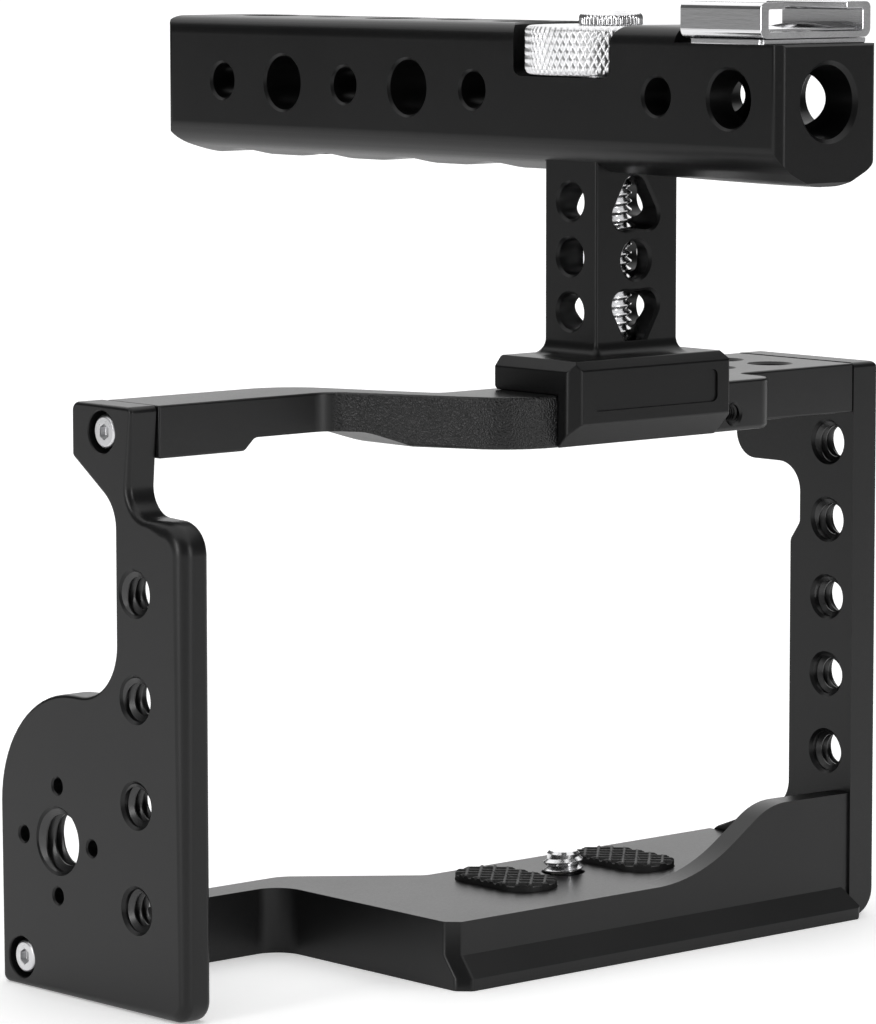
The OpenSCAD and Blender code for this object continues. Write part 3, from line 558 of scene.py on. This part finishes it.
# ------------------------------------------------------------------ rubber pads with a diamond rib pattern
def pad(name, cx):
    """A rounded pad with two sets of thin raised ribs that cross."""
    hx, hy, rad, step = 5.0, 9.0, 4.6, 0.14
    nx, ny = int(2 * hx / step), int(2 * hy / step)

    def inside(x, y):
        dx, dy = max(abs(x) - (hx - rad), 0), max(abs(y) - (hy - rad), 0)
        return rad - math.hypot(dx, dy) if dx > 0 or dy > 0 else min(hx - abs(x), hy - abs(y))

    p = 2.05

    def height(x, y, d):
        u, v = (x + y) / math.sqrt(2) / p, (x - y) / math.sqrt(2) / p
        gu, gv = abs(u - round(u)) * p, abs(v - round(v)) * p
        g = min(gu, gv)
        rib = max(0.0, min(1.0, 1 - (g - 0.2) / 0.18))
        edge = max(0.0, min(1.0, d / 0.3))
        return 1.2 + 0.5 * rib * (1 - (1 - edge) ** 2) if d > 0 else 1.2

    rows = 14
    o = outline([(-5, -9, 4.6), (5, -9, 4.6), (5, 9, 4.6), (-5, 9, 4.6)], 1.2)
    # dense outline, so that the ribs reach the rim
    dense = []
    for i, q in enumerate(o):
        b = o[(i + 1) % len(o)]
        k = max(1, int(math.hypot(b[0] - q[0], b[1] - q[1]) / step))
        dense += [(q[0] + (b[0] - q[0]) * t / k, q[1] + (b[1] - q[1]) * t / k) for t in range(k)]
    bm = bmesh.new()
    n = len(dense)
    bottom = [bm.verts.new((x, y, 0)) for x, y in dense]
    wall = [bm.verts.new((x, y, 0.9)) for x, y in dense]
    ring = wall
    for i in range(n):
        j = (i + 1) % n
        bm.faces.new((bottom[i], bottom[j], wall[j], wall[i]))
    bm.faces.new(bottom[::-1])
    # rings towards the spine of the rounded outline
    spine = []
    for x, y in dense:
        sy = max(-(hy - rad), min(hy - rad, y))
        spine.append((x * (hx - rad) / hx * 0.2, sy))
    levels = 36
    for k in range(levels + 1):
        f = k / levels
        cur = []
        for (x, y), (sx, sy) in zip(dense, spine):
            px, py = x + (sx - x) * f * 0.985, y + (sy - y) * f * 0.985
            cur.append(bm.verts.new((px, py, height(px, py, inside(px, py) + 0.02) if k else height(px, py, 0.12))))
        for i in range(n):
            j = (i + 1) % n
            bm.faces.new((ring[i], ring[j], cur[j], cur[i]))
        ring = cur
    bm.faces.new(ring)
    bmesh.ops.recalc_face_normals(bm, faces=bm.faces)
    me = bpy.data.meshes.new(name)
    bm.to_mesh(me)
    bm.free()
    ob = bpy.data.objects.new(name, me)
    bpy.context.scene.collection.objects.link(ob)
    me.transform(Matrix.Translation((cx, PAD_Y, BASE_TOP - 0.5)))
    return ob


for node, cx in (("pad_left", 73.0), ("pad_right", 98.0)):
    finish(pad(node.replace("pad", "rubber_pad"), cx), "cage", RUBBER, node, angle=40, tidy=False)

# ------------------------------------------------------------------ camera screw, with its real thread
seat = BASE_TOP - 3.05
core = lathe([(0, seat - 2.35), (6.9, seat - 2.35), (7.2, seat - 2.05), (7.2, seat - 0.8), (6.95, seat - 0.55), (2.35, seat - 0.55), (2.35, BASE_TOP - 0.75),
              (2.52, BASE_TOP - 0.6), (2.52, BASE_TOP + SCREW_UP - 0.4), (2.2, BASE_TOP + SCREW_UP), (0, BASE_TOP + SCREW_UP)], 72)
screw = make("camera_screw_body", shift(core, CAM_X, CAM_Y, 0))
cut(screw, block(CAM_X - 8, CAM_Y - 0.9, seat - 4, CAM_X + 8, CAM_Y + 0.9, seat - 1.4))
finish(screw, "screw", NICKEL, "camera_screw")
finish(make("camera_screw_thread_ridge", shift(helix(2.48, 3.1, BASE_TOP - 0.3, BASE_TOP + SCREW_UP - 1.05), CAM_X, CAM_Y, 0)), "screw", NICKEL, angle=20, tidy=False)

# ------------------------------------------------------------------ handle
CROSS_Y = [38.6 - 14.8 * i for i in range(5)]


def dip(t):
    return (1 - (t / 6.5) ** 2) ** 2 if abs(t) < 6.5 else 0.0


def under(y):
    return HZ + 0.8 * sum(dip(y - (38.5 - 19.6 * i)) for i in range(4)) - NOSE * max(0.0, min(1.0, (-50 - y) / 30))


side = [(H_FRONT, HZ - NOSE + 0.6), (H_FRONT + 0.6, HZ - NOSE)]
side += [(H_FRONT + 1.1 * i, under(H_FRONT + 1.1 * i)) for i in range(1, 120) if H_FRONT + 1.1 * i < H_REAR - 9]
side += [(H_REAR - 8 + 8 * math.sin(t), HZ + 5.2 - 5.2 * math.cos(t)) for t in [math.radians(7.5 * k) for k in range(13)]]
side += [(H_REAR - 1.6 + 1.6 * math.cos(t), HTOP - 1.6 + 1.6 * math.sin(t)) for t in [math.radians(10 * k) for k in range(10)]]
side += [(-64, HTOP), (-64, RECESS_Z), (H_FRONT + 0.3, RECESS_Z), (H_FRONT, RECESS_Z - 0.3)]
handle = make("handle_grip", along_y(H_REAR, slab([
    (HX0, HZ + 3.8, 3.6), (HX0 + 1.7, HZ + 1.6, 5), (HX0 + 6.9, HZ - NOSE, 9), (HX1 - 6.9, HZ - NOSE, 9), (HX1 - 1.7, HZ + 1.6, 5), (HX1, HZ + 3.8, 3.6),
    (HX1, HTOP, 2.8), (HX0, HTOP, 2.8)], H_REAR - H_FRONT)))
combine(handle, along_x(HX0 - 1, slab([(y, z) for y, z in side], 22.3)), "INTERSECT")
combine(handle, along_z(HZ - 2, slab([(HX0, H_FRONT + 1.1, 1.1), (HX0 + 1.1, H_FRONT, 1.1), (HX1 - 1.1, H_FRONT, 1.1),
                                      (HX1, H_FRONT + 1.1, 1.1), (HX1, H_REAR, 2), (HX0, H_REAR, 2)], 25)), "INTERSECT")
prof = [(0, POCKET_Z), (13.25, POCKET_Z)] + [(13.25 + 1.2 * math.sin(t), POCKET_Z + 1.2 - 1.2 * math.cos(t)) for t in [math.radians(15 * k) for k in range(1, 7)]]
prof += [(14.45, HTOP - 0.3), (14.75, HTOP), (14.75, HTOP + 2), (0, HTOP + 2)]
cut(handle, shift(lathe(prof, 128), AX, AY, 0))
cut(handle, join(*[shift(turn(hole(2.75 if i % 2 == 0 else 4.2, 20.3, 0.38), TO_X), HX0, y, CROSS_Z) for i, y in enumerate(CROSS_Y)],
                 shift(turn(hole(2.75, 20.3, 0.38), TO_X), HX0, -60.3, CROSS_Z), shift(turn(hole(4.2, 20.3, 0.38), TO_X), HX0, -75.1, CROSS_Z)))
cut(handle, join(*[shift(hole(4.2 if i % 2 == 0 else 2.75, HTOP - HZ, 0.38), AX, y, HZ) for i, y in enumerate(CROSS_Y)]))
cut(handle, shift(turn(lathe([(0, -1), (5.91, -1), (5.91, 0), (5.3, 0.6), (5.3, 27.8), (0, 27.8)], 72), TO_Y), AX, H_FRONT, CROSS_Z - 0.4))
X0, Y0, STOP, SW = AX - 8.1, -45.8, HZ - 0.05, 16.6
cut(handle, along_z(HZ - 2, slab([(X0 - 0.07, Y0 - 0.07, 0.4), (X0 + SW + 0.07, Y0 - 0.07, 0.4), (X0 + SW + 0.07, Y0 + 11.27, 0.4), (X0 - 0.07, Y0 + 11.27, 0.4)], 9.8)))
cut(handle, shift(lathe([(0, HZ), (3.6, HZ), (3.6, POCKET_Z - 0.9), (6.6, POCKET_Z - 0.9), (6.6, POCKET_Z + 1), (0, POCKET_Z + 1)], 64), AX, AY, 0))
for s in (1, -1):
    cut(handle, shift(lathe([(0, HZ + 7), (1.4, HZ + 7), (1.4, POCKET_Z - 3.6), (2.4, POCKET_Z - 3.6), (2.4, POCKET_Z + 1), (0, POCKET_Z + 1)], 32), AX - 5.4 * s, AY - 3.35 * s, 0))
# The handle takes the copy of black anodised with painted shade.
finish(handle, "handle", ANOD_PAINTED_SHADE, "handle_body")

# ------------------------------------------------------------------ stem and foot
foot = make("stem_and_foot", along_x(FX0, slab([(-49.2, BAR_Z + 3.5, 0), (-45.6, BAR_Z - 0.05, 0), (-45.6, FOOT_Z, 0), (-32.3, FOOT_Z, 0),
                                               (-31.8, FOOT_Z + 0.5, 0), (-31.8, FOOT_TOP - 0.25, 0), (-32.05, FOOT_TOP, 0),
                                               (-48.2, FOOT_TOP, 0), (-49.2, FOOT_TOP - 1.4, 0)], FX1 - FX0)))
combine(foot, along_y(-30, slab([(FX0, BAR_Z - 1, 0), (FX1, BAR_Z - 1, 0), (FX1, FOOT_TOP - 1.5, 0), (FX1 - 1.4, FOOT_TOP, 0),
                                 (FX0 + 1.3, FOOT_TOP, 0), (FX0, FOOT_TOP - 1.6, 0)], 22)), "INTERSECT")
combine(foot, along_z(BAR_Z - 1, slab([(FX0, -30, 0), (FX0, -47.6, 1.1), (FX0 + 1.5, -49.2, 1.1), (FX1 - 0.5, -49.2, 0), (FX1, -48.7, 0), (FX1, -30, 0)], 16)), "INTERSECT")
soften(foot, 0.3, 3, angle=20)
column = make("column", along_z(FOOT_TOP, stack([(X0, Y0, 0.45), (X0 + SW, Y0, 0.45), (X0 + SW, Y0 + 11.2, 0.45), (X0, Y0 + 11.2, 0.45)],
                                               [(-0.4, -2.3)] + [(2.3 - 2.3 * math.cos(t), 2.3 * math.sin(t) - 2.3) for t in [math.radians(10 * k) for k in range(10)]]
                                               + [(STOP + 5.8 - FOOT_TOP, 0), (STOP + 6.05 - FOOT_TOP, 0.25)])))
me = column.data
column_m = ([tuple(v.co) for v in me.vertices], [list(p.vertices) for p in me.polygons])
bpy.data.objects.remove(column)
combine(foot, column_m, "UNION")
cut(foot, along_y(-48.9, slab([(61.7, 62.9, 1), (87.1, 62.9, 1), (87.1, 67.8, 1), (61.7, 67.8, 1)], 2)))
cut(foot, shift(lathe([(0, 0), (4, 0), (4, 60), (0, 60)], 64), AX, AY, BAR_Z))
cut(foot, join(*[shift(turn(hole(2.7, SW, 0.4), TO_X), X0, -40.1, z) for z in (93.2, 85.05, 76.9)]))
cut(foot, shift(turn(hole(2.85, 11.2, 0.4), TO_Y), AX, Y0, 84.5))


def window(m):
    w = [(0, m * 15, 2.5, -0.4, -0.4), (-6.6, m * 3.8, 2.2, -0.4, -0.4), (0, m * 4.75, 18, -0.4, -0.4), (6.6, m * 3.8, 2.2, -0.4, -0.4)]
    return w if m > 0 else [w[0], w[3], w[2], w[1]]


for m, z in ((1, 84.5), (-1, 84.4)):
    cut(foot, shift(along_y(-34.59, edged(window(m), 11.22, 1, 1)), AX, 0, z))
for s in (1, -1):
    cut(foot, shift(lathe([(0, 0), (1.3, 0), (1.3, 6), (0, 6)], 32), AX - 5.4 * s, AY - 3.35 * s, STOP + 1))
# The stem and foot take the copy of black anodised with painted shade.
finish(foot, "handle", ANOD_PAINTED_SHADE, "handle_stem")


# ------------------------------------------------------------------ clamp wheel with a diamond knurl, cap and threaded rod
def tri(x):
    x = x - math.floor(x)
    return 1 - abs(2 * x - 1)


def knurled(radius, height, teeth, depth, edge, z_pitch, per=8, straight=False, rows=44):
    n = teeth * per
    prof = []
    for k in range(7):
        t = math.radians(-90 + 15 * k)
        prof.append((radius - edge + edge * math.cos(t), edge + edge * math.sin(t)))
    for k in range(1, rows):
        prof.append((radius, edge + (height - 2 * edge) * k / rows))
    for k in range(7):
        t = math.radians(15 * k)
        prof.append((radius - edge + edge * math.cos(t), height - edge + edge * math.sin(t)))
    verts, faces = [], []
    for r, z in prof:
        fade = max(0.0, min(1.0, (r - (radius - edge * 0.75)) / (edge * 0.5)))
        for i in range(n):
            a = i / per
            if straight:
                f = min(1.0, tri(a) * 1.6)
            else:
                f = min(1.0, min(tri(a + z / z_pitch), tri(a - z / z_pitch)) * 1.35)
            rr = r - depth * (1 - f) * fade
            verts.append((rr * math.cos(2 * math.pi * i / n), rr * math.sin(2 * math.pi * i / n), z))
    m = len(prof)
    for k in range(m - 1):
        for i in range(n):
            j = (i + 1) % n
            faces.append([k * n + i, k * n + j, (k + 1) * n + j, (k + 1) * n + i])
    # flat middle of both ends, down to a small bore
    for row, z, rr in ((0, 0.0, 3.2), (m - 1, height, 2.1)):
        ring0 = [row * n + i for i in range(n)]
        steps = [(prof[row][0] * 0.93, z), (prof[row][0] * 0.92, z), (rr, z)]
        prev = ring0
        for r, zz in steps:
            cur = list(range(len(verts), len(verts) + n))
            verts += [(r * math.cos(2 * math.pi * i / n), r * math.sin(2 * math.pi * i / n), zz) for i in range(n)]
            for i in range(n):
                j = (i + 1) % n
                faces.append([prev[i], prev[j], cur[j], cur[i]])
            prev = cur
        if row == 0:
            low = prev
        else:
            high = prev
    for i in range(n):
        j = (i + 1) % n
        faces.append([low[i], low[j], high[j], high[i]])
    return verts, faces


wheel = make("knurled_wheel", shift(knurled(12.75, 7.2, 72, 0.34, 0.9, 1.11 * 2), AX, AY, WHEEL_Z))
finish(wheel, "clamp", PEARL, "clamp_wheel", angle=60, tidy=False)
cap_n = 40 * 6
cap_prof = [(4.5, 0.0), (4.75, 0.12)] + [(4.75, 0.12 + 0.9 * k / 6) for k in range(1, 7)]
cap_prof += [(3.45 + 1.3 * math.cos(t), 1.1 + 0.95 * math.sin(t)) for t in [math.radians(15 * k) for k in range(1, 7)]] + [(2.9, 2.08), (2.7, 2.0), (1.0, 2.0)]
verts, faces = [], []
for k, (r, z) in enumerate(cap_prof):
    fade = 1.0 if k <= 7 else max(0.0, 1 - (k - 7) / 2)
    for i in range(cap_n):
        rr = r - (0.22 * (1 - min(1, tri(i / 6) * 1.5)) * fade if z > 0.01 else 0)
        verts.append((rr * math.cos(2 * math.pi * i / cap_n), rr * math.sin(2 * math.pi * i / cap_n), z))
for k in range(len(cap_prof) - 1):
    for i in range(cap_n):
        j = (i + 1) % cap_n
        faces.append([k * cap_n + i, k * cap_n + j, (k + 1) * cap_n + j, (k + 1) * cap_n + i])
faces += [list(range(cap_n))[::-1], [(len(cap_prof) - 1) * cap_n + i for i in range(cap_n)]]
cap = make("knurled_cap", shift((verts, faces), AX, AY, WHEEL_Z + 7.2))
cap_shank = shift(lathe([(0, -5.5), (2, -5.5), (2, 0.05), (0, 0.05)], 32), AX, AY, WHEEL_Z + 7.2)
finish(cap, "clamp", NICKEL, "wheel_cap_screw", angle=50, tidy=False)
finish(make("cap_shank", cap_shank), "clamp", NICKEL)

rod = lathe([(0, BAR_Z + 0.5), (1.95, BAR_Z + 0.5), (2.5, BAR_Z + 1.1), (2.5, HZ + 6.6 - 0.6), (3.17, HZ + 6.6 - 0.2), (3.17, HZ + 6.6), (2.5, HZ + 6.6), (2.5, HZ + 7.4), (3.17, HZ + 7.4),
             (3.17, WHEEL_Z + 4.7), (0, WHEEL_Z + 4.7)], 64)
finish(make("rod_core", shift(rod, AX, AY, 0)), "clamp", NICKEL, "clamp_rod")
finish(make("rod_thread", shift(helix(2.46, 3.175, BAR_Z + 1.3, HZ + 5.6), AX, AY, 0)), "clamp", NICKEL, angle=20, tidy=False)

# ------------------------------------------------------------------ the CAD nodes that stay
KEEP = {"left_plate_screws": ZINC, "right_plate_screws": ZINC, "camera_screw_washer": NYLON, "camera_screw_retainer": ZINC,
        "stem_screws": ZINC, "rod_washer": ZINC, "rod_retaining_ring": ZINC, "cold_shoe": SHEET, "shoe_strip": SHEET, "shoe_spring": SHEET, "shoe_screws": ZINC}
SOFT_EDGE = {"cold_shoe": 0.00012, "shoe_strip": 0.0002, "shoe_spring": 0.00008, "left_plate_screws": 0.0001, "right_plate_screws": 0.0001}
for node, mat in KEEP.items():
    o = NODES[node]
    o.data.materials.clear()
    o.data.materials.append(mat)
    w = o.modifiers.new("weld", "WELD")
    w.merge_threshold = 2e-6
    if node in SOFT_EDGE:
        d = o.modifiers.new("flat", "DECIMATE")
        d.decimate_type, d.angle_limit = "DISSOLVE", math.radians(0.5)
        b = o.modifiers.new("edges", "BEVEL")
        b.width, b.segments, b.limit_method, b.angle_limit = SOFT_EDGE[node], 2, "ANGLE", math.radians(30)
        b.use_clamp_overlap = True
        b.harden_normals = False
    s = o.modifiers.new("normals", "WEIGHTED_NORMAL")
    s.keep_sharp = True

# ------------------------------------------------------------------ stage, light and camera
def stage_mat(name, c):
    m, nt, p = new_mat(name)
    tc = nt.nodes.new("ShaderNodeTexCoord")
    a = tex(nt, "ShaderNodeTexNoise", 3, 2, tc.outputs["Object"])
    nt.links.new(colour(nt, a.outputs["Fac"], (c, c, c), (c + 0.01, c + 0.01, c + 0.01)), p.inputs["Base Color"])
    p.inputs["Roughness"].default_value = 0.9
    p.inputs["Specular IOR Level"].default_value = 0.0
    return m


floor = make("floor", ([(-14, -14, 0), (14, -14, 0), (14, 14, 0), (-14, 14, 0)], [[0, 1, 2, 3]]))
pale = stage_mat("pale_floor", 0.96)
glow = pale.node_tree.nodes["Principled BSDF"]
glow.inputs["Emission Color"].default_value = (1, 1, 1, 1)
glow.inputs["Emission Strength"].default_value = 0.28
floor.data.materials.append(pale)
floor.location.z = -0.00002

world = bpy.data.worlds.new("soft_studio")
bpy.context.scene.world = world
world.use_nodes = True
bg = world.node_tree.nodes["Background"]
bg.inputs["Color"].default_value = (1, 1, 1, 1)
bg.inputs["Strength"].default_value = 0.11

YAW, PIT, ROL = math.radians(41.48), math.radians(6.70), math.radians(-0.05)
AHEAD = Vector((math.sin(YAW), math.cos(YAW), 0))


def softbox(name, loc, direction, along, across, radiance):
    """A rectangle that shines along direction. along lies in its long side."""
    l = bpy.data.lights.new(name, "AREA")
    l.shape, l.size, l.size_y = "RECTANGLE", across, along[1]
    l.energy = radiance * math.pi * across * along[1]
    o = bpy.data.objects.new(name, l)
    bpy.context.scene.collection.objects.link(o)
    z = -Vector(direction).normalized()
    y = Vector(along[0]).normalized()
    x = y.cross(z)
    o.matrix_world = Matrix(((x.x, y.x, z.x, loc[0]), (x.y, y.y, z.y, loc[1]), (x.z, y.z, z.z, loc[2]), (0, 0, 0, 1)))
    return o


over = AHEAD * 5.85
softbox("overhead", (over.x, over.y, 1.1), (0, 0, -1), (AHEAD, 13.4), 2.3, 1.2)
UP = Vector((0, 0, 1))
softbox("left_side", (-1.5, -0.05, 0.3), (1, 0, -0.05), (UP + Vector((0.05, 0, 0)), 1.1), 0.34, 8.5)
softbox("right_front", (0.05, -1.5, 0.3), (0, 1, -0.05), (UP + Vector((0, 0.05, 0)), 1.1), 0.24, 8.5)

fwd = Vector((math.sin(YAW) * math.cos(PIT), math.cos(YAW) * math.cos(PIT), -math.sin(PIT)))
rgt = Vector((math.cos(YAW), -math.sin(YAW), 0))
up = rgt.cross(fwd)
r2, u2 = rgt * math.cos(ROL) + up * math.sin(ROL), -rgt * math.sin(ROL) + up * math.cos(ROL)
cam_data = bpy.data.cameras.new("photo_camera")
cam = bpy.data.objects.new("photo_camera", cam_data)
bpy.context.scene.collection.objects.link(cam)
cam_data.lens, cam_data.sensor_width, cam_data.sensor_fit = 178.6, 36.0, "AUTO"
cam_data.clip_start, cam_data.clip_end = 0.05, 100
cam.matrix_world = Matrix(((r2.x, u2.x, -fwd.x, -0.51282), (r2.y, u2.y, -fwd.y, -0.57256), (r2.z, u2.z, -fwd.z, 0.15815), (0, 0, 0, 1)))
bpy.context.scene.camera = cam
bpy.context.scene.view_settings.view_transform = "Standard"
